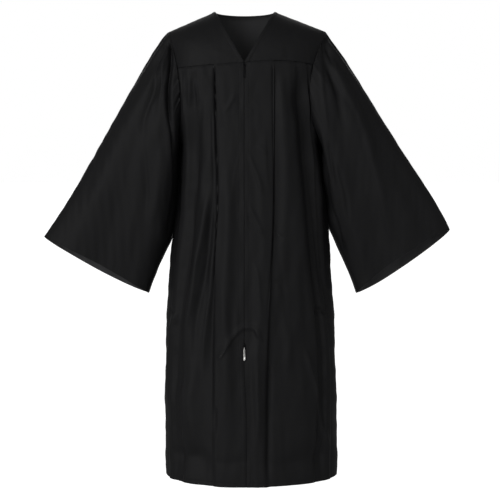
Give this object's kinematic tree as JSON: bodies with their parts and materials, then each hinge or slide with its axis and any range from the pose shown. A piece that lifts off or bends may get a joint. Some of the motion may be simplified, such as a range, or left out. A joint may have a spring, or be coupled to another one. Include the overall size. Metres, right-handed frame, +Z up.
{
  "type": "graduation gown",
  "caption": "Long loose gown, filled out and hollow, with a V neck, smooth yokes, soft pleats, bell sleeves and a front zip with a pull tab at each end.",
  "frame": {"origin": "middle of the neck opening, level with the two high shoulder points, where the wearer's shoulders carry the gown", "axes": "+X towards the wearer's left, -Y towards the front, +Z up"},
  "size_m": [1.0994, 0.3186, 1.2545],
  "materials": {
    "black_cloth": "matte woven polyester with a faint sheen",
    "black_tape": "woven zip tape with a nylon coil",
    "black_metal": "black enamel",
    "bright_metal": "nickel plate"
  },
  "bodies": {
    "gown": {"yoke_front_right": "black_cloth", "yoke_front_left": "black_cloth", "yoke_back": "black_cloth", "front_right": "black_cloth", "front_left": "black_cloth", "back": "black_cloth", "sleeve_right": "black_cloth", "sleeve_left": "black_cloth", "zip_tape_right": "black_tape", "zip_tape_left": "black_tape", "slider_upper": "black_metal", "slider_lower": "black_metal"},
    "pull_upper_tab": {"pull_upper": "black_metal"},
    "pull_lower_tab": {"pull_lower": "bright_metal"}
  },
  "joints": [
    {"name": "pull_upper_hinge", "type": "hinge", "parent": "gown", "child": "pull_upper_tab", "pos_m": [0, -0.1252, -0.14622], "axis": [-1, 0, 0], "range_deg": [0, 165]},
    {"name": "pull_lower_hinge", "type": "hinge", "parent": "gown", "child": "pull_lower_tab", "pos_m": [0, -0.15253, -0.88194], "axis": [-1, 0, 0], "range_deg": [0, 165]}
  ]
}
